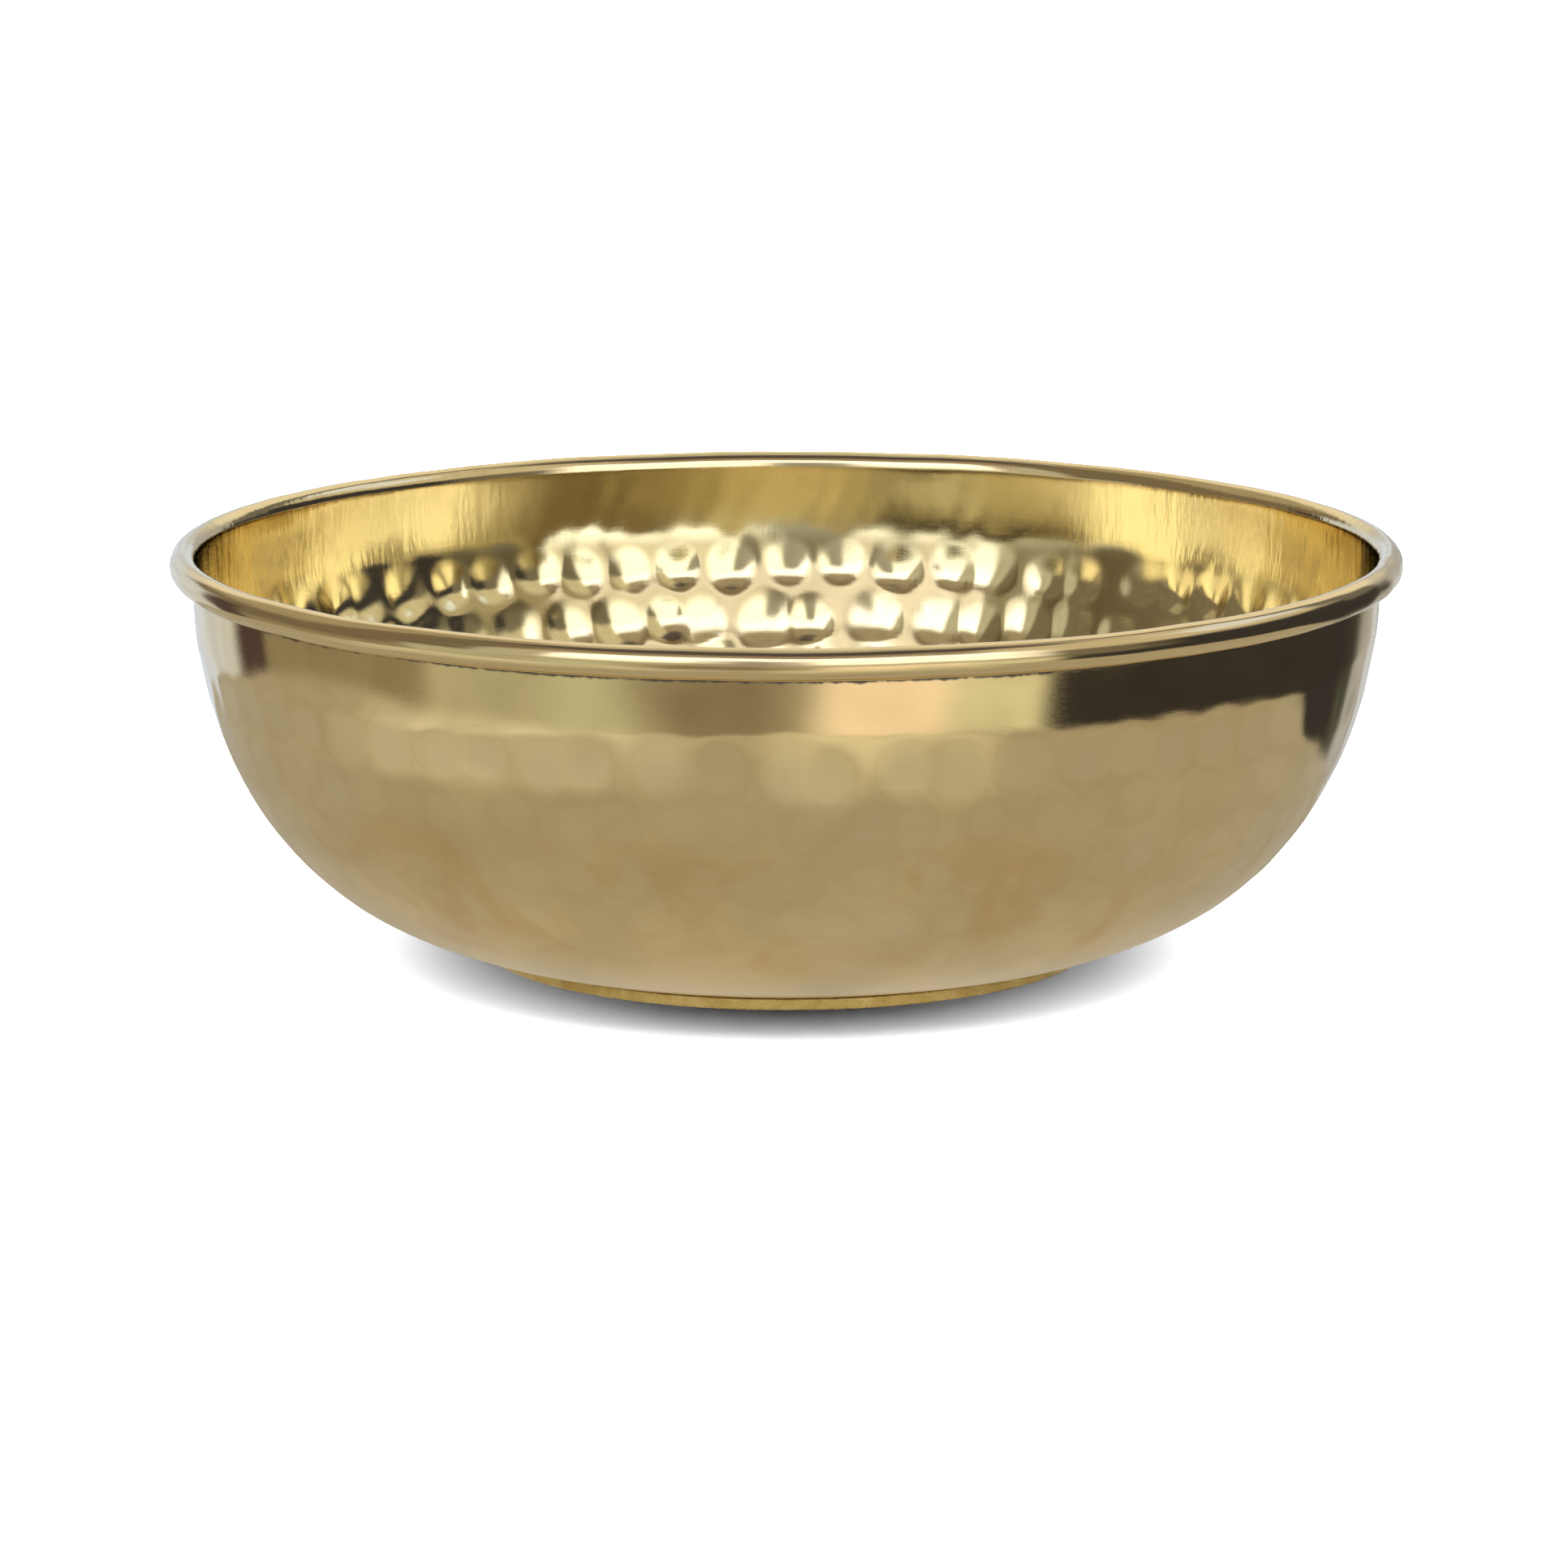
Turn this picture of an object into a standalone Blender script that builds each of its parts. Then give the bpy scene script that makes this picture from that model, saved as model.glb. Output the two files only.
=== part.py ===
"""Brass bowl with a wired edge and a ring foot. Metres, +Z up, axis on Z, standing on z = 0."""

import math

import bpy

OBJECT_NAME = "brass_bowl"

# Rolled edge
RIM_RADIUS = 0.1250  # outermost edge of the bead
BEAD_CENTRE_Z = 0.0801
BEAD_HALF_HEIGHT = 0.00315
CURL_END = math.radians(-118)  # where the raw end of the sheet stops, under the bead
WIRE_CLEARANCE = 0.00035  # all round the wire, inside the curl

# Bowl wall: a superellipse, vertical at the top, that runs out on a nearly flat base
SHEET = 0.0010
WALL_RADIUS = 0.12045
WALL_TOP_Z = 0.0768
WALL_DEPTH = 0.0779
RADIUS_POWER = 3.67
DEPTH_POWER = 2.07
BASE_Z = 0.0029
BASE_BLEND = 0.00066  # how gently the wall runs into the base

# Foot
FOOT_RADIUS = 0.0624
FOOT_WIDTH = 0.0030
FOOT_EDGE = 0.00035
FOOT_GAP = 0.00035  # between separate pieces
BRAZE_LEG = 0.0013
BRAZE_TIP = 0.00018

# Facets
AROUND = 96
WALL_STEPS = 15
CURL_STEPS = 11
WIRE_STEPS = 8
CORNER_STEPS = 2
BRAZE_STEPS = 3

BRASS = (0.62, 0.43, 0.16, 1.0)
FOOT_BRASS = (0.55, 0.37, 0.13, 1.0)
WIRE_BRASS = (0.50, 0.35, 0.15, 1.0)
BRAZE_BRASS = (0.66, 0.50, 0.26, 1.0)


def clear_scene():
    for obj in list(bpy.data.objects):
        bpy.data.objects.remove(obj, do_unlink=True)


def make_collection(name):
    collection = bpy.data.collections.new(name)
    bpy.context.scene.collection.children.link(collection)
    return collection


def make_metal(name, colour, roughness):
    material = bpy.data.materials.new(name)
    material.use_nodes = True
    shader = material.node_tree.nodes["Principled BSDF"]
    shader.inputs["Base Color"].default_value = colour
    shader.inputs["Metallic"].default_value = 1.0
    shader.inputs["Roughness"].default_value = roughness
    material.diffuse_color = colour
    return material


def turned(name, profile, closed, material, collection):
    """A solid of revolution: the profile is (radius, z) points, down its outer side."""
    count = len(profile)
    edges = [(i, i + 1) for i in range(count - 1)]
    if closed:
        edges.append((count - 1, 0))
    mesh = bpy.data.meshes.new(name)
    mesh.from_pydata([(r, 0.0, z) for r, z in profile], edges, [])
    mesh.materials.append(material)
    obj = bpy.data.objects.new(name, mesh)
    collection.objects.link(obj)
    screw = obj.modifiers.new("Turn", "SCREW")
    screw.axis = "Z"
    screw.angle = math.tau
    screw.steps = AROUND
    screw.render_steps = AROUND
    screw.use_merge_vertices = True
    screw.merge_threshold = 0.00001
    screw.use_smooth_shade = True
    return obj


def outer_wall(u):
    """The outside of the wall, from the base centre (u = 0) to the top (u = pi / 2)."""
    radius = WALL_RADIUS * math.sin(u) ** (2 / RADIUS_POWER)
    z = WALL_TOP_Z - WALL_DEPTH * max(math.cos(u), 0.0) ** (2 / DEPTH_POWER)
    lift = BASE_BLEND * math.log1p(math.exp((z - BASE_Z) / BASE_BLEND))
    return radius, BASE_Z + lift


def inner_wall(u):
    """The inside of the wall, one sheet thickness in along the normal."""
    nudge = 1e-4
    r0, z0 = outer_wall(max(u - nudge, 0.0))
    r1, z1 = outer_wall(min(u + nudge, math.pi / 2))
    length = math.hypot(r1 - r0, z1 - z0)
    radius, z = outer_wall(u)
    return radius - SHEET * (z1 - z0) / length, z + SHEET * (r1 - r0) / length


def wall_points(side):
    """Points on one side of the wall, with the first exactly on the axis."""
    points = [side(0.5 * math.pi * i / WALL_STEPS) for i in range(WALL_STEPS + 1)]
    return [(0.0, points[0][1])] + points[1:]


def bead_half_width():
    return 0.5 * (RIM_RADIUS - WALL_RADIUS + SHEET)


def bead_arc(inset, first, last, steps):
    """Points on the bead's oval section, at this depth under its outer surface."""
    across = bead_half_width() - inset
    up = BEAD_HALF_HEIGHT - inset
    centre = RIM_RADIUS - bead_half_width()
    turns = [first + (last - first) * i / steps for i in range(steps + 1)]
    return [
        (centre + across * math.cos(a), BEAD_CENTRE_Z + up * math.sin(a)) for a in turns
    ]


def shell_profile():
    """Up the inside, over and round the curl, back inside it, and down the outside."""
    curl = bead_arc(0.0, math.pi, CURL_END, CURL_STEPS)
    lining = bead_arc(SHEET, CURL_END, math.pi, CURL_STEPS)
    return wall_points(inner_wall) + curl + lining + wall_points(outer_wall)[::-1]


def wire_profile():
    """The round wire in the middle of the curl, clockwise from its inner side."""
    radius = bead_half_width() - SHEET - WIRE_CLEARANCE
    centre = RIM_RADIUS - bead_half_width()
    turns = [math.pi - math.tau * i / WIRE_STEPS for i in range(WIRE_STEPS)]
    return [
        (centre + radius * math.cos(a), BEAD_CENTRE_Z + radius * math.sin(a))
        for a in turns
    ]


def foot_profile():
    """A flat-bottomed band with eased edges, clockwise."""
    inner, outer = FOOT_RADIUS - FOOT_WIDTH + FOOT_EDGE, FOOT_RADIUS - FOOT_EDGE
    low, high = FOOT_EDGE, BASE_Z - FOOT_GAP - FOOT_EDGE
    corners = [
        (inner, high, math.pi),
        (outer, high, math.pi / 2),
        (outer, low, 0.0),
        (inner, low, -math.pi / 2),
    ]
    points = []
    for radius, z, start in corners:
        for i in range(CORNER_STEPS + 1):
            angle = start - 0.5 * math.pi * i / CORNER_STEPS
            points.append(
                (radius + FOOT_EDGE * math.cos(angle), z + FOOT_EDGE * math.sin(angle))
            )
    return points


def braze_profile():
    """A hollow-faced fillet in the corner between the band's inside and the base."""
    radius = FOOT_RADIUS - FOOT_WIDTH - FOOT_GAP
    z = BASE_Z - FOOT_GAP
    hollow = BRAZE_LEG - BRAZE_TIP
    points = [(radius - BRAZE_LEG, z), (radius, z), (radius, z - BRAZE_LEG)]
    for i in range(BRAZE_STEPS + 1):
        angle = 0.5 * math.pi * i / BRAZE_STEPS
        points.append(
            (
                radius - BRAZE_LEG + hollow * math.cos(angle),
                z - BRAZE_LEG + hollow * math.sin(angle),
            )
        )
    return points


def build():
    clear_scene()
    bowl = make_collection(OBJECT_NAME)
    shell_metal = make_metal("polished_brass", BRASS, 0.22)
    wire_metal = make_metal("wire_brass", WIRE_BRASS, 0.4)
    foot_metal = make_metal("filed_brass", FOOT_BRASS, 0.38)
    braze_metal = make_metal("braze_metal", BRAZE_BRASS, 0.45)
    turned("bowl_shell", shell_profile(), False, shell_metal, bowl)
    turned("rim_wire", wire_profile(), True, wire_metal, bowl)
    turned("foot_ring", foot_profile(), True, foot_metal, bowl)
    turned("foot_braze", braze_profile(), True, braze_metal, bowl)


build()
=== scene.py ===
"""Looks of a hammered brass bowl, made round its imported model. Metres, +Z up."""

import math

import bpy
import numpy as np
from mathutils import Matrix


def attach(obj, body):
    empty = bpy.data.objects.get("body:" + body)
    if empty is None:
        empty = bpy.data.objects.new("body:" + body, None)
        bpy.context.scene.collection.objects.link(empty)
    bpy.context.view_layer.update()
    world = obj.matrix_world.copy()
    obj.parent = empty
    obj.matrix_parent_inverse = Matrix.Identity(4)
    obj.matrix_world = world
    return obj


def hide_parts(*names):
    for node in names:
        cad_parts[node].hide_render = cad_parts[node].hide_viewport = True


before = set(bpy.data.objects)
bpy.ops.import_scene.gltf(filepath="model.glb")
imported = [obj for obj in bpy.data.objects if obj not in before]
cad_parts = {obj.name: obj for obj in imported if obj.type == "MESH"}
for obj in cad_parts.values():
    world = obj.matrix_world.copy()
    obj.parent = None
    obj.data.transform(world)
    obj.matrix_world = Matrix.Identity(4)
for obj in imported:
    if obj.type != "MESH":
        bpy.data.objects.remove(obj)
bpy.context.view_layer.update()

MM = 0.001

# ------------------------------------------------------------------ dimensions

SHEET = 1.0 * MM
WALL_RADIUS = 120.45 * MM
WALL_TOP_Z = 76.8 * MM
WALL_DEPTH = 77.9 * MM
RADIUS_POWER = 3.67
DEPTH_POWER = 2.07
BASE_Z = 2.9 * MM
BASE_BLEND = 0.66 * MM
RIM_RADIUS = 125.0 * MM
BEAD_CENTRE_Z = 80.1 * MM
BEAD_UP = 3.15 * MM
BEAD_ACROSS = 0.5 * (RIM_RADIUS - WALL_RADIUS + SHEET)
BEAD_CENTRE_R = RIM_RADIUS - BEAD_ACROSS
FOOT_RADIUS = 62.4 * MM
FOOT_WIDTH = 3.0 * MM

CURL_TURN = math.radians(307)  # how far the edge is rolled, from the inside over the top
CURL_STEPS = 24
LINING_STEPS = 6

AROUND = 640  # facets round the rim; the outside and the middle have fewer
DEGREES = 180 / math.pi

rng = np.random.default_rng(20)


# ------------------------------------------------------------------ outline


def outline_points(samples=6001):
    """The wall's outside, from the axis up to its vertical top."""
    u = np.linspace(0.0, 0.5 * math.pi, samples)
    radius = WALL_RADIUS * np.sin(u) ** (2 / RADIUS_POWER)
    z = WALL_TOP_Z - WALL_DEPTH * np.clip(np.cos(u), 0, 1) ** (2 / DEPTH_POWER)
    z = BASE_Z + BASE_BLEND * np.log1p(np.exp((z - BASE_Z) / BASE_BLEND))
    return radius, z


OUT_R, OUT_Z = outline_points()
OUT_S = np.concatenate([[0.0], np.cumsum(np.hypot(np.diff(OUT_R), np.diff(OUT_Z)))])
TOP_S = float(OUT_S[-1])
OUT_TR = np.gradient(OUT_R, OUT_S)
OUT_TZ = np.gradient(OUT_Z, OUT_S)


def at_s(s):
    """Radius, z and the normal's r and z on the wall's outside, s along it from the axis."""
    r, z = np.interp(s, OUT_S, OUT_R), np.interp(s, OUT_S, OUT_Z)
    tr, tz = np.interp(s, OUT_S, OUT_TR), np.interp(s, OUT_S, OUT_TZ)
    length = np.hypot(tr, tz)
    return r, z, tz / length, -tr / length


def s_at_z(z):
    """Distance along the wall's outside from the axis up to this height."""
    return float(np.interp(z, OUT_Z, OUT_S))


# ------------------------------------------------------------------ unevenness


def ring_noise(count, low, high, seed):
    """Smooth noise round a circle, about 1 in deviation, of low to high waves in a turn."""
    local = np.random.default_rng(seed)
    theta = np.arange(count) * math.tau / count
    waves = np.arange(low, high + 1)
    value = np.zeros(count)
    for k in waves:
        value += local.normal() * np.cos(k * theta + local.uniform(0, math.tau))
    return value / math.sqrt(0.5 * len(waves))


class SheetNoise:
    """Smooth noise over the sheet: waves round the bowl whose phase drifts along it."""

    def __init__(self, low, high, drift, seed):
        local = np.random.default_rng(seed)
        count = 2 * (high - low + 1)
        self.k = local.integers(low, high + 1, count)
        self.m = local.normal(0.0, drift, count)
        self.phase = local.uniform(0, math.tau, count)
        self.scale = 1 / math.sqrt(0.5 * count)

    def __call__(self, theta, s):
        total = np.zeros_like(theta)
        for k, m, phase in zip(self.k, self.m, self.phase):
            total += np.cos(k * theta + m * s + phase)
        return total * self.scale


# ------------------------------------------------------------------ hammer marks

FIRST_ROW_S = s_at_z(59.0 * MM)
ROW_PITCH = 12.0 * MM
MARK_PITCH = 11.7 * MM
MARK_RADIUS = 6.9 * MM  # across; each is a little longer down the wall
MARK_DEPTH = 1.02 * MM
MARK_LEAN = -0.5  # below 0, a mark is deeper low down on the wall than high up
# How gently a mark starts at its edge, and how sharp the ridges between marks are.
INNER_POWER, INNER_UNION = 1.2, 6
OUTER_POWER, OUTER_UNION = 1.1, 5


def hammer_marks():
    """The marks as rows of angle, distance from the axis, two radii, depth and turn."""
    marks = []
    s = FIRST_ROW_S
    while s > 0.4 * ROW_PITCH:
        radius = at_s(s)[0]
        count = max(1, round(math.tau * radius / MARK_PITCH))
        start = rng.uniform(0, math.tau)
        drift = rng.uniform(0, math.tau)
        for i in range(count):
            turn = (i + rng.normal(0, 0.13)) / count
            wander = 0.5 * math.sin(3 * math.tau * turn + drift) + rng.normal(0, 0.6)
            size = MARK_RADIUS * rng.uniform(0.86, 1.1)
            marks.append(
                (
                    (start + turn * math.tau) % math.tau,
                    s + wander * MM,
                    size * rng.uniform(0.92, 1.06),
                    1.04 * size * rng.uniform(0.92, 1.06),
                    MARK_DEPTH * rng.uniform(0.6, 1.15),
                    rng.normal(0, 0.3),
                )
            )
        s -= ROW_PITCH
    marks.append((0.0, 0.0, MARK_RADIUS, MARK_RADIUS, MARK_DEPTH, 0.0))
    return np.array(marks)


MARKS = hammer_marks()


def mark_depth(theta, s, power, union, along_ring=None):
    """How deep the marks are round the ring at s, and 0 to 1 from edge to middle.

    along_ring gives each point's own distance from the axis, where the ring is wavy.
    """
    near = MARKS[np.abs(MARKS[:, 1] - s) < 1.5 * MARK_RADIUS]
    radius = max(at_s(s)[0], 1e-5)
    here = np.full_like(theta, s) if along_ring is None else along_ring
    depth = np.zeros_like(theta)
    share = np.zeros_like(theta)
    for angle, along, size_a, size_b, deep, turn in near:
        if along < 2 * MARK_RADIUS or radius < 2 * MARK_RADIUS:
            dx = radius * np.cos(theta) - along * math.cos(angle)
            dy = radius * np.sin(theta) - along * math.sin(angle)
        else:
            dx = ((theta - angle + math.pi) % math.tau - math.pi) * radius
            dy = here - along
        a = (dx * math.cos(turn) + dy * math.sin(turn)) / size_a
        b = (dy * math.cos(turn) - dx * math.sin(turn)) / size_b
        square = a * a + b * b
        bowl = np.clip(1 - square, 0, None) ** power
        bowl = bowl * (1 + MARK_LEAN * np.clip(b, -1, 1))
        depth += (deep * bowl) ** union
        share = np.maximum(share, bowl)
    return depth ** (1 / union), share


# ------------------------------------------------------------------ the shell's rings

WIDE_WAVES = SheetNoise(3, 14, 60.0, 4)
FINE_WAVES = SheetNoise(12, 40, 140.0, 5)


def smooth_step(value, low, high):
    """0 at low and before it, 1 at high and beyond; low can be the greater number."""
    t = np.clip((value - low) / (high - low), 0, 1)
    return t * t * (3 - 2 * t)


def ring_count(radius, most=AROUND):
    """Facets in a ring of this radius, halved again and again towards the axis."""
    for least, share in ((80, 1), (38, 2), (17, 4)):
        if radius > least * MM:
            return min(AROUND // share, most)
    return AROUND // 8


def thetas(count):
    return np.arange(count) * math.tau / count


WRINKLES = ring_noise(AROUND, 55, 150, 7)
WRINKLE_STRENGTH = 0.55 + 0.45 * np.tanh(ring_noise(AROUND, 2, 7, 8))
STRETCHES = ring_noise(AROUND, 8, 30, 9)

OUTER_SHARE = 0.28  # how deep the marks are outside, as a share of their depth inside
LEAST_METAL = 0.27 * MM  # kept between the marks inside and those outside
WALL_EXTRA = 2.0 * MM  # how much thicker the hammered wall is made, for the deep marks
BASE_LESS = 1.4 * MM  # how much of that is taken off again towards the base
EDGE_SINK = 0.26 * MM  # how far the hammered zone stands in outside
EDGE_S = s_at_z(65.3 * MM)  # where the hammering starts, seen outside as a wavy line
EDGE_WAVE = 1.1 * MM * ring_noise(AROUND // 2, 1, 4, 13)
EDGE_WAVE += 0.34 * MM * ring_noise(AROUND // 2, 14, 70, 14)


def sunk_below_edge(s):
    """How far the hammered zone stands in from the smooth outline."""
    sunk = 1 - math.exp(-max(EDGE_S - s, 0.0) / (4 * MM))
    return EDGE_SINK * sunk * smooth_step(s, s_at_z(12 * MM), s_at_z(45 * MM))


def inner_ring(s):
    """A ring of the inside: hammer marks, and above them the smooth, wrinkled band."""
    r, z, nr, nz = at_s(s)
    count = ring_count(r)
    theta = thetas(count)
    depth, share = mark_depth(theta, s, INNER_POWER, INNER_UNION)
    # The hammered part is thicker: the marks are sunk in metal that stands a little in.
    sunk = sunk_below_edge(s)
    thick = sunk + WALL_EXTRA * smooth_step(z, 68 * MM, 42 * MM)
    thick -= BASE_LESS * smooth_step(z, 38 * MM, 12 * MM)
    room = SHEET + thick - sunk - LEAST_METAL - 1.2 * OUTER_SHARE * MARK_DEPTH
    depth *= min(1.0, room / (1.25 * MARK_DEPTH))
    worked = smooth_step(s, TOP_S - 8 * MM, TOP_S - 14 * MM)
    push = depth + 0.05 * MM * worked * FINE_WAVES(theta, s)
    push += 0.05 * MM * WIDE_WAVES(theta, s) * smooth_step(s, 20 * MM, 50 * MM)
    if count == AROUND:
        band = smooth_step(s, TOP_S - 24 * MM, TOP_S - 14 * MM)
        drift = int(round((TOP_S - s) / MM * 0.4))
        wrinkle = np.roll(WRINKLES, drift) * WRINKLE_STRENGTH
        push += band * (0.022 * MM * wrinkle + 0.05 * MM * STRETCHES)
    out = push - thick - SHEET
    return theta, r + nr * out, z + nz * out, share, 1.0, 0.0


def outer_ring(s):
    """A ring of the outside, where the marks show faintly below the wavy edge."""
    count = ring_count(at_s(s)[0], AROUND // 2)
    theta = thetas(count)
    wave = EDGE_WAVE[:: AROUND // 2 // count]
    near_edge = smooth_step(abs(s - EDGE_S), 13 * MM, 3 * MM)
    here = np.minimum(s + near_edge * wave, TOP_S)
    r, z, nr, nz = at_s(here)
    depth, share = mark_depth(theta, s, OUTER_POWER, OUTER_UNION, here)
    faint = 0.4 + 0.6 * smooth_step(s, FIRST_ROW_S - 13 * MM, FIRST_ROW_S - 5 * MM)
    faint *= smooth_step(s, s_at_z(10 * MM), s_at_z(24 * MM))
    push = -OUTER_SHARE * faint * depth - sunk_below_edge(s)
    amount = smooth_step(s, s_at_z(4 * MM), s_at_z(20 * MM))
    push += 0.09 * MM * amount * WIDE_WAVES(theta, s)
    push += 0.022 * MM * amount * FINE_WAVES(theta, s)
    return theta, r + nr * push, z + nz * push, share * faint, 0.0, 0.0


BEAD_SWELL = ring_noise(AROUND, 6, 60, 10)
BEAD_LIFT = ring_noise(AROUND, 3, 24, 11)
EDGE_NICKS = ring_noise(AROUND, 90, 220, 12)
BEAD_UNEVEN = 0.05 * MM


def bead_ring(angle, inset, lip=0.0, count=AROUND):
    """A ring of the rolled edge at this angle of its oval section; lip nicks the raw end."""
    theta = thetas(count)
    skip = AROUND // count
    swell = BEAD_UNEVEN * BEAD_SWELL[::skip] * (math.sin(0.5 * (math.pi - angle)) ** 2)
    nicks = lip * MM * (0.10 * EDGE_NICKS[::skip] + 0.07 * BEAD_SWELL[::skip])
    across = BEAD_ACROSS - inset + swell + nicks
    up = BEAD_UP - inset + swell + nicks
    lift = BEAD_UNEVEN * BEAD_LIFT[::skip]
    r = BEAD_CENTRE_R + across * math.cos(angle)
    z = BEAD_CENTRE_Z + lift + up * math.sin(angle)
    inside = 0.5 - 0.5 * math.cos(angle) if angle > 0.5 * math.pi else 0.0
    return theta, r, z, np.zeros(count), inside, 1.0


def neck_ring(ring, radius, step, inside):
    """A ring this share of the way from the wall's top up to the bead's centre."""
    theta, r, _, share, _, _ = ring
    height = WALL_TOP_Z + (BEAD_CENTRE_Z - WALL_TOP_Z) * step
    z = np.full(len(r), height)
    return theta, r + (radius - r) * step, z, share, inside, 0.0


def inner_step(s):
    """How far the next ring up the inside is: closest where the marks are seen."""
    radius = at_s(s)[0]
    if radius < 82 * MM or s > TOP_S - 12 * MM:
        return 1.6 * MM
    return 1.1 * MM if radius > 108 * MM else 1.45 * MM


def outer_step(s):
    """How far the next ring down the outside is: closest along the wavy edge."""
    if abs(s - EDGE_S) < 4 * MM:
        return 0.8 * MM
    return 2.1 * MM if at_s(s)[0] > 64 * MM else 3.2 * MM


def shell_rings():
    """All rings, up the inside, round the bead, back inside it and down the outside."""
    rings = []
    s = 1.3 * MM
    while s < TOP_S:
        rings.append(inner_ring(s))
        s += inner_step(s)
    inside_top = inner_ring(TOP_S)
    for step in (0.35, 0.7):
        rings.append(neck_ring(inside_top, WALL_RADIUS - SHEET, step, 1.0))
    for i in range(CURL_STEPS + 1):
        angle = math.pi - i * CURL_TURN / CURL_STEPS
        lip = smooth_step(-angle, math.radians(75), math.radians(112))
        rings.append(bead_ring(angle, 0.0, lip))
    end = math.pi - CURL_TURN
    rings.append(bead_ring(end, 0.5 * SHEET, 1.0))
    for i in range(LINING_STEPS + 1):
        angle = end + (math.pi - end) * i / LINING_STEPS
        rings.append(bead_ring(angle, SHEET, count=AROUND // 2))
    outside_top = outer_ring(TOP_S)
    for step in (0.75, 0.5):
        rings.append(neck_ring(outside_top, WALL_RADIUS, step, 0.0))
    s = TOP_S
    while s > 1.5 * MM:
        rings.append(outer_ring(s))
        s -= outer_step(s)
    return rings


def stitch(rings, start, end):
    """Vertices, faces and each vertex's mark, inside and bead values.

    The skin runs from the pole at start, over the rings, to the pole at end. A ring has
    as many points as its neighbour, half as many or twice as many.
    """
    verts, values, firsts = [start], [(0.0, 1.0, 0.0)], []
    for theta, r, z, share, inside, bead in rings:
        firsts.append(len(verts))
        x, y = r * np.cos(theta), r * np.sin(theta)
        verts += list(zip(x, y, np.broadcast_to(z, x.shape)))
        values += [(float(v), inside, bead) for v in share]
    verts.append(end)
    values.append((0.0, 0.0, 0.0))
    faces = []
    count = len(rings[0][0])
    faces += [(0, firsts[0] + i, firsts[0] + (i + 1) % count) for i in range(count)]
    for k in range(len(rings) - 1):
        a, b = firsts[k], firsts[k + 1]
        na, nb = len(rings[k][0]), len(rings[k + 1][0])
        if na == nb:
            for i in range(na):
                j = (i + 1) % na
                faces.append((a + i, b + i, b + j, a + j))
        elif nb == 2 * na:
            for i in range(na):
                j, m = (i + 1) % na, 2 * i
                n = (m + 2) % nb
                faces.append((a + i, b + m, b + m + 1))
                faces.append((a + i, b + m + 1, a + j))
                faces.append((a + j, b + m + 1, b + n))
        else:
            for i in range(nb):
                j, m = (i + 1) % nb, 2 * i
                n = (m + 2) % na
                faces.append((a + m, b + i, a + m + 1))
                faces.append((a + m + 1, b + i, b + j))
                faces.append((a + m + 1, b + j, a + n))
    last, count = firsts[-1], len(rings[-1][0])
    pole = len(verts) - 1
    faces += [(last + i, pole, last + (i + 1) % count) for i in range(count)]
    return verts, faces, values


def new_object(name, verts, faces):
    mesh = bpy.data.meshes.new(name)
    mesh.from_pydata([tuple(map(float, v)) for v in verts], [], faces)
    mesh.validate()
    mesh.shade_smooth()
    obj = bpy.data.objects.new(name, mesh)
    bpy.context.scene.collection.objects.link(obj)
    return obj


def add_value(obj, name, numbers):
    layer = obj.data.attributes.new(name, "FLOAT", "POINT")
    layer.data.foreach_set("value", np.asarray(numbers, np.float32))


# ------------------------------------------------------------------ shader helpers


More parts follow.
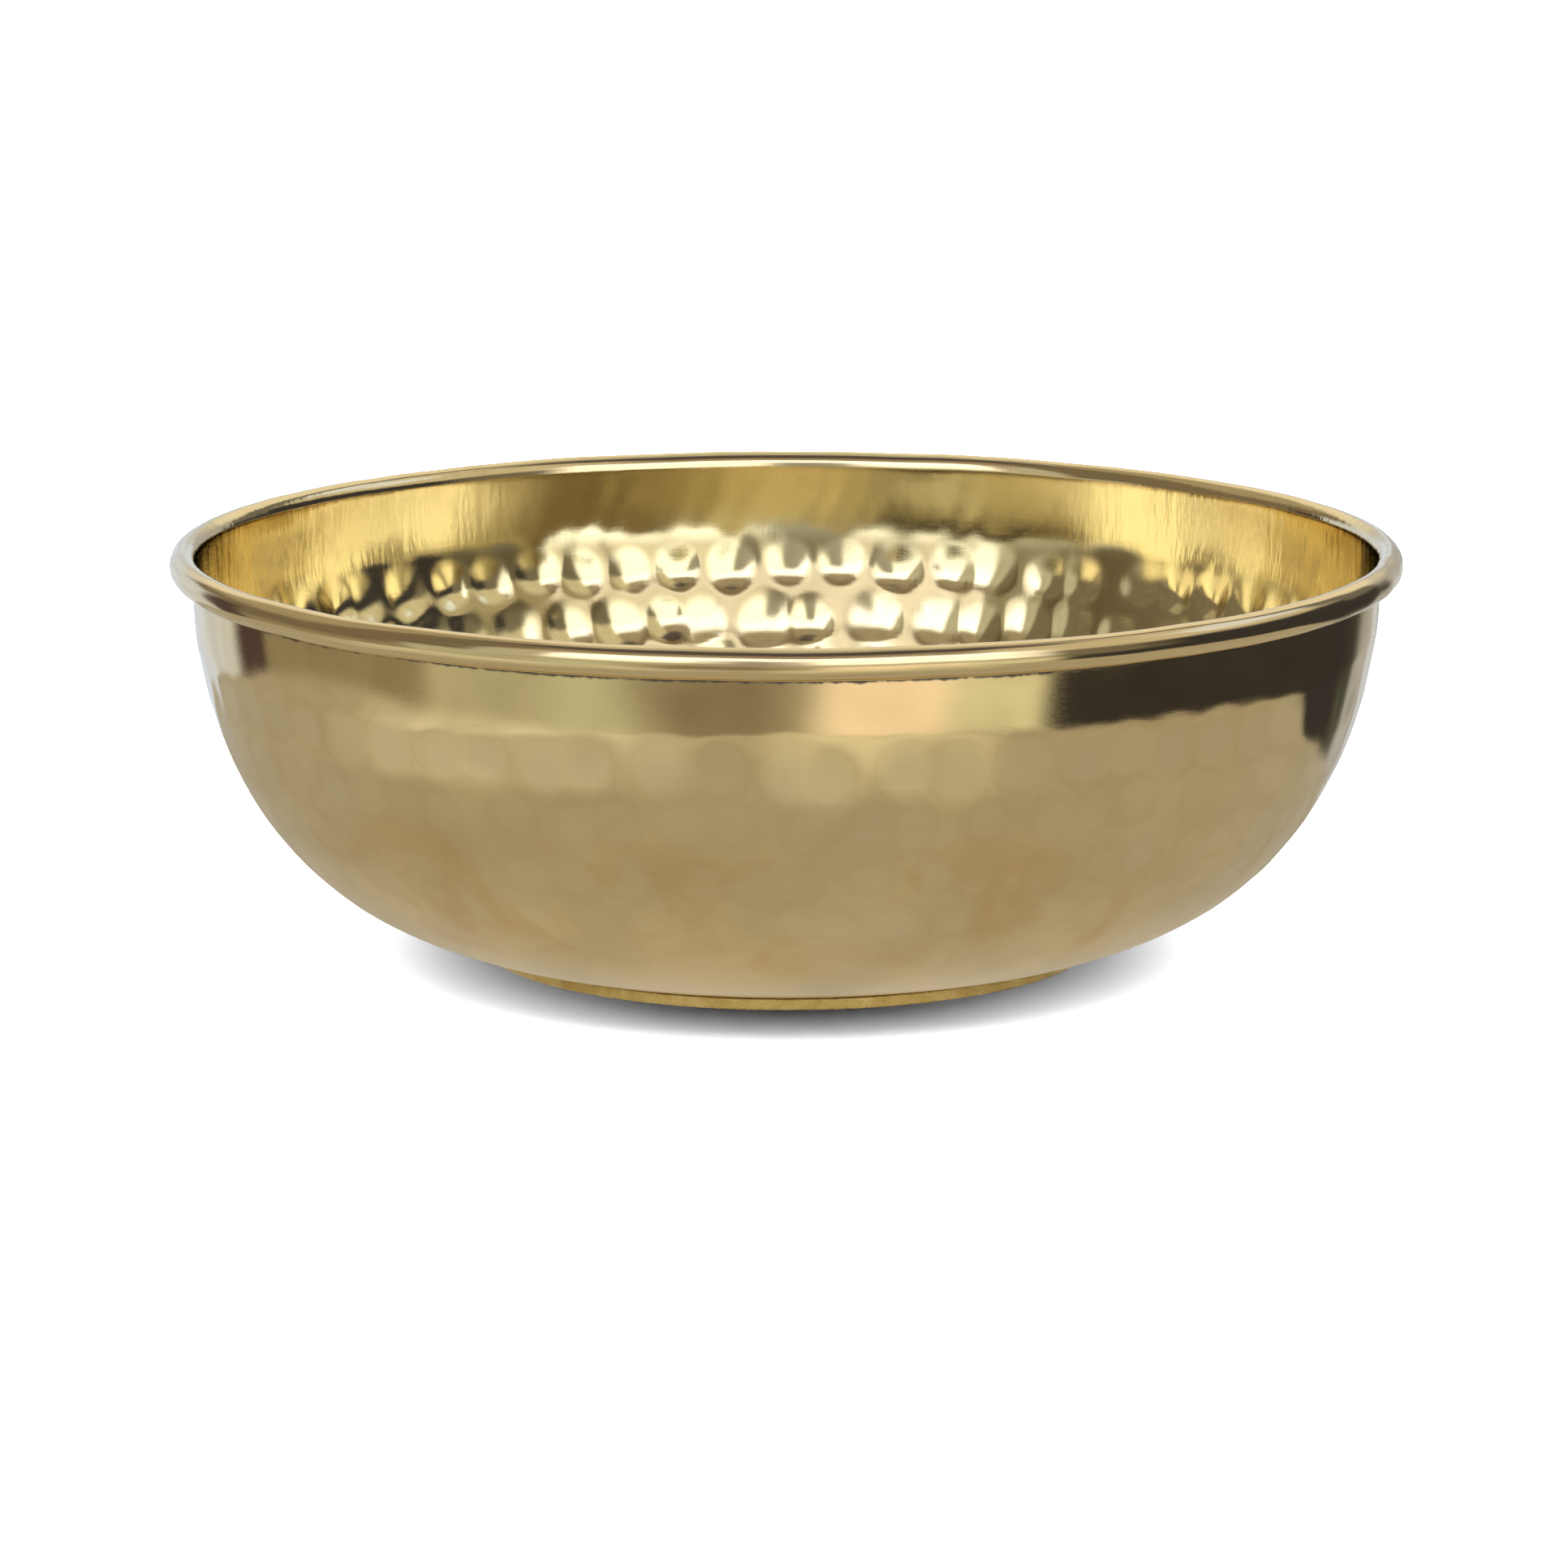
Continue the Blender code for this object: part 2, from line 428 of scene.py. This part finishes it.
class Nodes:
    """Short calls for a node tree."""

    def __init__(self, tree):
        self.tree = tree
        tree.nodes.clear()

    def add(self, kind, **settings):
        """A new node of this kind."""
        node = self.tree.nodes.new(kind)
        for key, value in settings.items():
            setattr(node, key, value)
        return node

    def set(self, socket, value):
        """Link a socket to the input, or give it a plain value."""
        if isinstance(value, bpy.types.NodeSocket):
            self.tree.links.new(value, socket)
        else:
            socket.default_value = value

    def math(self, operation, a, b=None, c=None, clamp=False):
        node = self.add("ShaderNodeMath", operation=operation, use_clamp=clamp)
        for socket, value in zip(node.inputs, (a, b, c)):
            if value is not None:
                self.set(socket, value)
        return node.outputs[0]

    def times(self, product, *others):
        for other in others:
            product = self.math("MULTIPLY", product, other)
        return product

    def plus(self, total, *others):
        for other in others:
            total = self.math("ADD", total, other)
        return total

    def minus(self, a, b):
        return self.math("SUBTRACT", a, b)

    def absolute(self, a):
        return self.math("ABSOLUTE", a)

    def vector(self, operation, a, b=None, scale=None):
        node = self.add("ShaderNodeVectorMath", operation=operation)
        self.set(node.inputs[0], a)
        if b is not None:
            self.set(node.inputs[1], b)
        if scale is not None:
            self.set(node.inputs["Scale"], scale)
        return node.outputs[0]

    def ramp(self, value, low, high, to_low=0.0, to_high=1.0, smooth=True):
        """Value moved from low..high to to_low..to_high, and held at both ends."""
        node = self.add("ShaderNodeMapRange")
        node.interpolation_type = "SMOOTHSTEP" if smooth else "LINEAR"
        node.clamp = True
        if low > high:
            low, high, to_low, to_high = high, low, to_high, to_low
        for socket, item in zip(node.inputs, (value, low, high, to_low, to_high)):
            self.set(socket, item)
        return node.outputs[0]

    def mix(self, factor, a, b, blend="MIX"):
        node = self.add("ShaderNodeMix", data_type="RGBA", blend_type=blend)
        self.set(node.inputs[0], factor)
        self.set(node.inputs[6], a)
        self.set(node.inputs[7], b)
        return node.outputs[2]

    def noise(self, vector, scale, detail, rough, distortion=0.0):
        node = self.add("ShaderNodeTexNoise")
        self.set(node.inputs["Vector"], vector)
        node.inputs["Scale"].default_value = scale
        node.inputs["Detail"].default_value = detail
        node.inputs["Roughness"].default_value = rough
        node.inputs["Distortion"].default_value = distortion
        return node.outputs[0]

    def attribute(self, name):
        return self.add("ShaderNodeAttribute", attribute_name=name).outputs["Fac"]

    def split(self, vector):
        node = self.add("ShaderNodeSeparateXYZ")
        self.set(node.inputs[0], vector)
        return node.outputs

    def bearing(self, x, y):
        """Degrees round from the camera towards +X."""
        return self.times(self.math("ARCTAN2", x, self.times(y, -1.0)), DEGREES)

    def bump(self, height, distance, strength):
        node = self.add("ShaderNodeBump")
        node.inputs["Strength"].default_value = strength
        node.inputs["Distance"].default_value = distance
        self.set(node.inputs["Height"], height)
        return node.outputs[0]

    def finish(self, shader, kind="ShaderNodeOutputMaterial"):
        self.set(self.add(kind).inputs[0], shader.outputs[0])

    def metal(self, colour, rough, normal):
        """The tree's output: a metal of this colour."""
        shader = self.add("ShaderNodeBsdfPrincipled")
        shader.inputs["Metallic"].default_value = 1.0
        self.set(shader.inputs["Base Color"], colour)
        self.set(shader.inputs["Roughness"], rough)
        self.set(shader.inputs["Normal"], normal)
        self.finish(shader)


def new_material(name):
    material = bpy.data.materials.new(name)
    material.use_nodes = True
    return material, Nodes(material.node_tree)


class Place:
    """Where a point is on the bowl, in millimetres."""

    def __init__(self, n):
        self.n = n
        self.mm = n.vector("SCALE", n.add("ShaderNodeTexCoord").outputs["Object"], scale=1000.0)
        self.x, self.y, self.z = n.split(self.mm)
        squares = n.plus(n.times(self.x, self.x), n.times(self.y, self.y))
        self.radius = n.math("MAXIMUM", n.math("SQRT", squares), 0.01)

    def around(self, ring, tall):
        """A vector for noise, ring mm round the bowl at any height; tall scales the height."""
        join = self.n.add("ShaderNodeCombineXYZ")
        for socket, across in zip(join.inputs, (self.x, self.y)):
            share = self.n.math("DIVIDE", across, self.radius)
            self.n.set(socket, self.n.times(share, ring))
        self.n.set(join.inputs[2], self.n.times(self.z, tall))
        return join.outputs[0]


BRASS = (0.80, 0.62, 0.33, 1.0)
BRASS_WARM = (0.74, 0.50, 0.22, 1.0)
BRASS_PALE = (0.82, 0.68, 0.44, 1.0)
BRASS_INSIDE = (0.86, 0.74, 0.44, 1.0)
BRASS_MARK_RIM = (0.60, 0.44, 0.21, 1.0)
# Painted shade for the ridges between the marks inside.
RIDGE_PAINTED_SHADE = (0.36, 0.27, 0.12, 1.0)
TARNISH = (0.52, 0.42, 0.25, 1.0)
# Painted shade where the foot meets the bowl.
FOOT_JOIN_PAINTED_SHADE = (0.20, 0.14, 0.08, 1.0)
# Painted shade for the seam under the rolled edge.
SEAM_PAINTED_SHADE = (0.10, 0.085, 0.085, 1.0)


def shell_material():
    material, n = new_material("hammered_sheet_brass")
    place = Place(n)
    mm, x, z, radius = place.mm, place.x, place.z, place.radius
    from_middle = n.absolute(x)
    marks = n.attribute("mark")
    inside = n.attribute("inside")
    bead = n.attribute("bead")
    outside = n.minus(1.0, n.math("MAXIMUM", inside, bead))
    smooth_band = n.times(inside, n.ramp(z, 60.0, 68.0))

    # Outside, warm stains and pale patches lie on the lower wall.
    mottle = n.noise(mm, 0.04, 3.0, 0.55, 0.6)
    fine = n.noise(mm, 0.28, 3.0, 0.6)
    stain = n.ramp(n.plus(mottle, n.times(fine, 0.12)), 0.52, 0.72)
    stain = n.times(stain, n.ramp(z, 52.0, 34.0), n.ramp(z, 8.0, 20.0), outside)
    lower = n.times(outside, n.ramp(z, 62.0, 50.0))
    pale = n.times(n.ramp(n.noise(mm, 0.03, 3.0, 0.6), 0.45, 0.75), lower)
    colour = n.mix(n.times(stain, 0.75), BRASS, BRASS_WARM)
    colour = n.mix(n.times(pale, 0.5), colour, BRASS_PALE)
    # The rolled edge is paler on top, and the inside is yellower.
    colour = n.mix(n.times(bead, n.ramp(z, 79.0, 81.5, 0.0, 0.6)), colour, BRASS_PALE)
    colour = n.mix(n.times(inside, n.minus(1.0, n.times(bead, 0.7))), colour, BRASS_INSIDE)
    # Outside, the shallow marks are a little paler, with polish left round their edges.
    mark = n.times(marks, outside)
    rim_of_mark = n.times(n.ramp(mark, 0.0, 0.12), n.ramp(mark, 0.34, 0.2))
    colour = n.mix(n.times(n.ramp(mark, 0.0, 1.0), 0.3), colour, BRASS_PALE)
    colour = n.mix(n.times(rim_of_mark, 0.1), colour, BRASS_MARK_RIM)
    # Inside, the ridges between the marks are a little rougher, and painted shade darkens them
    # to brown, least at the two sides.
    ridge_shade_mask = n.times(n.ramp(marks, 0.55, 0.03), inside, n.ramp(z, 67.0, 63.0))
    ridge_shade_mask = n.times(ridge_shade_mask, n.ramp(from_middle, 88.0, 55.0, 0.25, 1.0))
    colour = n.mix(n.times(ridge_shade_mask, 0.75), colour, RIDGE_PAINTED_SHADE)
    # The smooth band inside is tarnished here and there.
    cloud = n.noise(place.around(7.0, 0.05), 1.0, 4.0, 0.6)
    cloud = n.times(n.ramp(cloud, 0.5, 0.68), smooth_band)
    colour = n.mix(n.times(cloud, 0.35), colour, TARNISH)
    # Painted shade darkens the bowl along the top of the foot, and the seam under the rolled
    # edge.
    foot_join_shade = n.times(n.ramp(radius, 64.6, 63.2), n.ramp(radius, 60.0, 61.5), outside)
    colour = n.mix(n.times(foot_join_shade, 0.8), colour, FOOT_JOIN_PAINTED_SHADE)
    ragged = n.noise(place.around(40.0, 0.0), 1.0, 3.0, 0.55)
    low_edge = n.ramp(ragged, 0.3, 0.7, 76.5, 75.9, smooth=False)
    seam_shade_mask = n.times(
        n.math("LESS_THAN", z, 77.75),
        n.ramp(n.minus(z, low_edge), -0.25, 0.3),
        n.ramp(radius, 122.5, 121.6),
        n.minus(1.0, n.ramp(radius, 119.95, 119.8)),
    )
    colour = n.mix(n.times(seam_shade_mask, 0.92), colour, SEAM_PAINTED_SHADE)

    # Fine scratches run round the bowl, and short arcs cross them.
    round_scratch = n.noise(place.around(6.0, 7.0), 1.0, 6.0, 0.75)
    arcs = n.noise(n.vector("MULTIPLY", mm, (0.5, 0.5, 4.5)), 1.0, 5.0, 0.7, 1.2)
    grain = n.noise(mm, 1.6, 5.0, 0.7)
    streak = n.noise(place.around(30.0, 0.06), 1.0, 3.0, 0.6)

    rough = n.times(n.ramp(z, 60.0, 36.0, 0.055, 0.22), outside)
    rough = n.plus(rough, n.times(inside, 0.08))
    rough = n.plus(rough, n.times(bead, n.minus(1.0, inside), 0.11))
    vary = n.minus(n.plus(round_scratch, grain), 1.0)
    for value, share in ((vary, 0.05), (stain, 0.08), (ridge_shade_mask, 0.06), (seam_shade_mask, 0.4)):
        rough = n.plus(rough, n.times(value, share))
    rough = n.math("MAXIMUM", rough, 0.045)

    relief = n.times(round_scratch, n.ramp(z, 58.0, 66.0, 0.15, 0.16))
    relief = n.plus(relief, n.times(arcs, 0.15))
    at_sides = n.ramp(from_middle, 55.0, 90.0, 0.8, 5.5)
    relief = n.plus(relief, n.times(streak, smooth_band, at_sides))
    n.metal(colour, rough, n.bump(relief, 0.00003, 1.0))
    return material


def foot_material():
    material, n = new_material("filed_foot_brass")
    place = Place(n)
    grain = n.noise(place.mm, 0.9, 6.0, 0.7)
    file_marks = n.noise(place.around(9.0, 5.0), 1.0, 5.0, 0.7)
    patches = n.ramp(n.noise(place.mm, 0.16, 3.0, 0.6), 0.35, 0.7)
    colour = n.mix(patches, (0.60, 0.42, 0.14, 1.0), (0.74, 0.56, 0.22, 1.0))
    colour = n.mix(n.ramp(grain, 0.56, 0.7, 0.0, 0.5), colour, (0.34, 0.22, 0.10, 1.0))
    # Painted shade: the band darkens towards its top, where it meets the bowl.
    colour = n.mix(n.ramp(place.z, 2.1, 2.6, 0.0, 0.8), colour, FOOT_JOIN_PAINTED_SHADE)
    rough = n.ramp(grain, 0.3, 0.7, 0.24, 0.46)
    n.metal(colour, rough, n.bump(n.plus(grain, file_marks), 0.00012, 0.7))
    return material


def braze_material():
    material, n = new_material("braze_metal")
    grain = n.noise(Place(n).mm, 0.8, 5.0, 0.7)
    tone = n.ramp(grain, 0.35, 0.65)
    colour = n.mix(tone, (0.40, 0.28, 0.14, 1.0), (0.72, 0.58, 0.36, 1.0))
    n.metal(colour, n.ramp(grain, 0.3, 0.7, 0.3, 0.55), n.bump(grain, 0.0002, 0.6))
    return material


def wire_material():
    material, n = new_material("drawn_wire_brass")
    draw = n.noise(Place(n).around(3.0, 5.0), 1.0, 5.0, 0.7)
    tone = n.ramp(draw, 0.3, 0.7)
    colour = n.mix(tone, (0.52, 0.37, 0.17, 1.0), (0.70, 0.52, 0.27, 1.0))
    n.metal(colour, n.ramp(draw, 0.3, 0.7, 0.28, 0.45), n.bump(draw, 0.00005, 0.5))
    return material


# ------------------------------------------------------------------ foot and braze


def closed_ring(name, profile, count, seed, rough):
    """A closed ring with this section, each point pushed a little by smooth noise."""
    theta = thetas(count)
    fine = SheetNoise(40, 160, 900.0, seed)
    wide = SheetNoise(4, 16, 200.0, seed + 1)
    point_gap = 0.4 * MM  # about how far apart the section's points are
    verts = []
    centre = np.mean(profile, axis=0)
    for k, (r, z) in enumerate(profile):
        away = np.array([r, z]) - centre
        away /= np.hypot(*away)
        push = rough * fine(theta, point_gap * k) + 0.5 * rough * wide(theta, 0.0)
        rr, zz = r + away[0] * push, z + away[1] * push
        if z < 0.2 * MM:
            zz = np.maximum(zz, 0.0)  # nothing goes below the floor
        verts += list(zip(rr * np.cos(theta), rr * np.sin(theta), zz))
    faces = []
    for k in range(len(profile)):
        here, after = k * count, (k + 1) % len(profile) * count
        for i in range(count):
            j = (i + 1) % count
            faces.append((here + i, here + j, after + j, after + i))
    return new_object(name, verts, faces)


def arc_points(centre, radius, first, last, steps):
    """Points on an arc, between two angles in degrees."""
    r, z = centre
    angles = np.radians(np.linspace(first, last, steps))
    return [(r + radius * math.cos(a), z + radius * math.sin(a)) for a in angles]


def foot_section():
    """Up the band's outside to the bowl, over its top, down its inside and underneath."""
    edge = 0.35 * MM
    inner, outer = FOOT_RADIUS - FOOT_WIDTH, FOOT_RADIUS
    points = arc_points((outer - edge, edge), edge, -90, 0, 4)
    points += [(outer, z * MM) for z in (0.7, 1.1, 1.5)]
    points += arc_points((outer - 0.5 * MM, 1.95 * MM), 0.5 * MM, 0, 70, 4)
    points += [(outer - 0.25 * MM, 2.62 * MM), (outer + 0.35 * MM, 2.98 * MM)]
    points += [(outer - 0.4 * MM, 3.02 * MM), (inner + 0.3 * MM, 2.93 * MM)]
    points += [(inner, z * MM) for z in (2.6, 1.9, 1.2)]
    points += arc_points((inner + edge, edge), edge, 180, 270, 4)
    points += [(inner + 0.33 * FOOT_WIDTH, 0.0), (inner + 0.66 * FOOT_WIDTH, 0.0)]
    return points


def braze_section():
    """The hollow-faced fillet in the corner between the band's inside and the bowl."""
    r, z, leg = FOOT_RADIUS - FOOT_WIDTH + 0.05 * MM, BASE_Z + 0.03 * MM, 1.5 * MM
    points = [(r, z), (r - 0.5 * leg, z), (r - leg, z)]
    points += arc_points((r - leg, z - leg), leg - 0.14 * MM, 90, 0, 7)
    points += [(r, z - leg), (r, z - 0.5 * leg)]
    return points


# ------------------------------------------------------------------ the pieces


def build_pieces():
    rings = shell_rings()
    start = (0.0, 0.0, BASE_Z + SHEET - MARK_DEPTH)
    end = (0.0, 0.0, BASE_Z)
    verts, faces, values = stitch(rings, start, end)
    shell = new_object("hammered_bowl", verts, faces)
    columns = np.array(values)
    for index, name in enumerate(("mark", "inside", "bead")):
        add_value(shell, name, columns[:, index])
    shell.data.materials.append(shell_material())
    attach(shell, "root")
    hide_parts("bowl_shell")

    foot = closed_ring("foot_band", foot_section(), 480, 31, 0.03 * MM)
    foot.data.materials.append(foot_material())
    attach(foot, "root")
    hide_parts("foot_ring")

    braze = closed_ring("braze_fillet", braze_section(), 240, 41, 0.06 * MM)
    braze.data.materials.append(braze_material())
    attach(braze, "root")
    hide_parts("foot_braze")

    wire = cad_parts["rim_wire"]
    wire.material_slots[0].material = wire_material()


# ------------------------------------------------------------------ studio


def floor_material():
    material, n = new_material("pale_floor")
    shader = n.add("ShaderNodeBsdfPrincipled")
    shader.inputs["Base Color"].default_value = (0.9, 0.9, 0.9, 1.0)
    shader.inputs["Roughness"].default_value = 0.9
    shader.inputs["Specular IOR Level"].default_value = 0.0
    n.finish(shader)
    return material


def flat_shape(name, outline, z):
    """One flat face at this height."""
    return new_object(name, [(x, y, z) for x, y in outline], [tuple(range(len(outline)))])


def smooth_outline(corners, steps=10):
    """A closed curve through the corners."""
    points = []
    count = len(corners)
    for i in range(count):
        p0, p1, p2, p3 = (np.array(corners[(i + k) % count], float) for k in (-1, 0, 1, 2))
        for k in range(steps):
            t = k / steps
            bend = 2 * p1 + (p2 - p0) * t + (2 * p0 - 5 * p1 + 4 * p2 - p3) * t * t
            points.append(0.5 * (bend + (3 * p1 - p0 - 3 * p2 + p3) * t**3))
    return points


# The table top's outline in centimetres, round from the left.
TABLE = (
    (-33, -8), (-21, -19), (-10, -24), (0, -26), (11, -25), (19, -18), (25, -8),
    (26, 0), (17.5, 6.5), (12.5, 10), (0, 20), (-20, 18), (-32, 7),
)


def painted_table_reflection_material():
    """A glowing card that stands in for the table top as the bowl mirrors it: painted pools of
    window light, and paler under the bowl.
    """
    material, n = new_material("table_painted_reflection")
    place = Place(n)
    bearing = n.bearing(place.x, place.y)
    far = n.ramp(place.radius, 165.0, 245.0)
    left = n.ramp(n.absolute(n.plus(bearing, 42.0)), 40.0, 14.0)
    right = n.ramp(n.absolute(n.minus(bearing, 13.0)), 24.0, 8.0)
    near = n.ramp(place.radius, 130.0, 60.0)
    colour = n.mix(near, (0.49, 0.47, 0.41, 1.0), (0.60, 0.55, 0.45, 1.0))
    # Painted light: pools of window light far out on the left and right.
    colour = n.mix(n.times(far, left), colour, (0.83, 0.85, 0.78, 1.0))
    colour = n.mix(n.times(far, right), colour, (0.92, 0.92, 0.78, 1.0))
    patch = n.noise(place.mm, 0.028, 3.0, 0.5)
    colour = n.mix(n.ramp(patch, 0.35, 0.65, 0.0, 0.42), colour, (0.38, 0.36, 0.30, 1.0))
    # Only the bowl mirrors it: the floor beneath gets none of its light.
    seen = n.add("ShaderNodeLightPath").outputs["Diffuse Depth"]
    light = n.add("ShaderNodeEmission")
    n.set(light.inputs["Color"], colour)
    n.set(light.inputs["Strength"], n.math("SUBTRACT", 1.0, seen, clamp=True))
    n.finish(light)
    return material


FLOOR_RADIUS = 12  # metres
TABLE_Z = 0.2 * MM  # just above the floor


def build_stage():
    round_floor = [(FLOOR_RADIUS * math.cos(a), FLOOR_RADIUS * math.sin(a)) for a in thetas(96)]
    floor = flat_shape("floor", round_floor, 0.0)
    floor.data.materials.append(floor_material())
    floor.visible_glossy = False
    table = flat_shape("table", 0.01 * np.array(smooth_outline(TABLE)), TABLE_Z)
    table.data.materials.append(painted_table_reflection_material())
    table.visible_camera = False
    table.visible_diffuse = False
    table.visible_shadow = False


# Each thing round the studio: azimuth from the camera towards +X, half width and
# softness, low and high elevation and softness (all degrees), colour.
ROOM = {
    "pale_wall_left": (-165, 27, 6, -60, 46, 6, (0.80, 0.82, 0.84)),
    "pale_wall_right": (168, 30, 6, -60, 50, 6, (0.52, 0.53, 0.53)),
    "ceiling": (0, 112, 14, 56, 120, 3, (0.12, 0.10, 0.105)),
    "over_window": (-4, 60, 6, 40, 60, 4, (0.42, 0.36, 0.28)),
    "dark_room_left": (-106, 46, 3, -60, 62, 5, (0.23, 0.195, 0.14)),
    "shelf_left": (-104, 29, 1, -60, -4, 3, (0.33, 0.305, 0.225)),
    "left_high": (-128, 24, 6, 22, 62, 5, (0.46, 0.41, 0.29)),
    "back_high": (176, 33, 6, 16, 62, 6, (0.98, 0.92, 0.74)),
    "white_strip": (-161, 27, 1.5, -60, 12, 4, (0.76, 0.85, 0.98)),
    "wall_right": (86, 40, 5, 10, 60, 4, (0.74, 0.69, 0.53)),
    "sill": (-32, 43, 2, -60, 7, 2, (0.57, 0.59, 0.49)),
    "window_left": (-27, 17, 2, 7, 41, 3, (1.65, 1.70, 1.75)),
    "sky_left": (-27, 16, 3, 19, 41, 3, (2.10, 2.15, 2.40)),
    "window_high": (19, 31, 4, 25, 42, 4, (1.90, 1.95, 2.20)),
    "window_low": (27, 23, 3, 2, 30, 4, (1.75, 1.80, 1.80)),
    "post": (-6, 8, 3, -6, 25, 4, (0.44, 0.43, 0.40)),
    "cloth": (-38, 9, 6, -60, -8, 2, (0.66, 0.72, 0.60)),
    "chair": (-12, 15, 9, -60, -8, 2, (0.31, 0.275, 0.22)),
    "peach_card": (22, 15, 6, -60, -9, 2, (1.24, 1.12, 1.02)),
    "pale_card": (41, 11, 3, -60, -9, 2, (0.86, 0.90, 0.74)),
    "cupboard": (98.5, 46.5, 2.5, -60, 21, 4, (0.05, 0.048, 0.055)),
    "beam": (137, 8, 1, 8, 62, 4, (0.20, 0.20, 0.18)),
    "cupboard_side": (60, 12, 4, -8, 25, 3, (0.22, 0.20, 0.16)),
    "lamp": (113, 20, 4, 32, 47, 3, (0.95, 1.05, 1.25)),
    "door_edge": (-127, 6.5, 0.7, -60, 10, 3, (0.10, 0.07, 0.075)),
}


ROOM_COLOUR = (0.60, 0.585, 0.51, 1.0)  # between the things
UNSEEN_COLOUR = (0.03, 0.03, 0.03, 1.0)  # for light that has already left the floor
WHITE = (1.0, 1.0, 1.0, 1.0)


def room_colours(n, place, bearing, elevation):
    """What the bowl mirrors in each direction."""
    wobble = n.times(n.minus(n.noise(place, 5.0, 3.0, 0.55), 0.5), 3.0)
    bearing = n.plus(bearing, wobble)
    colour = ROOM_COLOUR
    for centre, half, soft, low, high, edge, tint in ROOM.values():
        away = n.absolute(n.math("WRAP", n.minus(bearing, centre), 180.0, -180.0))
        above = n.ramp(elevation, low - edge, low + edge)
        below = n.ramp(elevation, high + edge, high - edge)
        mask = n.times(n.ramp(away, half + soft, half - soft), n.times(above, below))
        colour = n.mix(mask, colour, (*tint, 1.0))
    # Bright and dark things behind on the right, seen as streaks at the bowl's edge.
    bands = n.noise(n.vector("MULTIPLY", place, (1.0, 9.0, 0.7)), 2.4, 3.0, 0.6)
    behind = n.times(n.ramp(bearing, 138.0, 144.0), n.ramp(elevation, 4.0, -6.0))
    dark = n.times(behind, n.ramp(bands, 0.50, 0.44))
    colour = n.mix(dark, colour, (0.07, 0.075, 0.06, 1.0))
    white = n.times(behind, n.ramp(bands, 0.55, 0.62))
    colour = n.mix(white, colour, (0.85, 0.90, 1.00, 1.0))
    mottle = n.ramp(n.noise(place, 7.0, 4.0, 0.6), 0.35, 0.7, 0.0, 0.35)
    return n.mix(mottle, colour, (0.55, 0.52, 0.48, 1.0), "MULTIPLY")


def floor_light(n, x, y, elevation):
    """Light for the floor: low from both sides, only from high up in front and behind."""
    sideways = n.minus(n.absolute(x), n.absolute(y))
    lowest = n.ramp(sideways, 0.15, 0.45, 47.0, 7.0)
    lit = n.ramp(n.minus(elevation, lowest), -3.0, 3.0)
    return n.times(lit, n.ramp(sideways, 0.15, 0.45, 9.0, 13.0))


def build_world():
    world = bpy.data.worlds.new("studio")
    bpy.context.scene.world = world
    world.use_nodes = True
    world.cycles.sampling_method = "NONE"
    n = Nodes(world.node_tree)
    place = n.add("ShaderNodeTexCoord").outputs["Generated"]
    x, y, z = n.split(place)
    elevation = n.times(n.math("ARCSINE", z), DEGREES)
    colour = room_colours(n, place, n.bearing(x, y), elevation)
    path = n.add("ShaderNodeLightPath").outputs
    after_floor = n.math("MINIMUM", path["Diffuse Depth"], 1.0)
    shown = n.mix(after_floor, colour, UNSEEN_COLOUR)
    shown = n.mix(path["Is Diffuse Ray"], shown, floor_light(n, x, y, elevation))
    shown = n.mix(path["Is Camera Ray"], shown, WHITE)
    background = n.add("ShaderNodeBackground")
    n.set(background.inputs["Color"], shown)
    n.finish(background, "ShaderNodeOutputWorld")


CAMERA_DISTANCE = 1.4852  # from the rim's centre
CAMERA_ELEVATION = math.radians(9.48)
CAMERA_TIP = math.radians(1.77942)  # how much further down than the rim's centre it looks
CAMERA_TURN = math.radians(0.0191)  # how far it is turned to the left
CAMERA_LENS = 167.7


def build_camera():
    """At the height and distance of the view, tipped down so that nothing is shifted."""
    data = bpy.data.cameras.new("camera")
    data.sensor_width = 36.0
    data.lens = CAMERA_LENS
    data.clip_end = 60.0
    camera = bpy.data.objects.new("camera", data)
    bpy.context.scene.collection.objects.link(camera)
    camera.location = (
        0.0,
        -CAMERA_DISTANCE * math.cos(CAMERA_ELEVATION),
        BEAD_CENTRE_Z + CAMERA_DISTANCE * math.sin(CAMERA_ELEVATION),
    )
    tip = CAMERA_ELEVATION + CAMERA_TIP
    camera.rotation_euler = (0.5 * math.pi - tip, 0.0, CAMERA_TURN)
    bpy.context.scene.camera = camera


build_pieces()
build_stage()
build_world()
build_camera()
bpy.context.scene.view_settings.view_transform = "Standard"
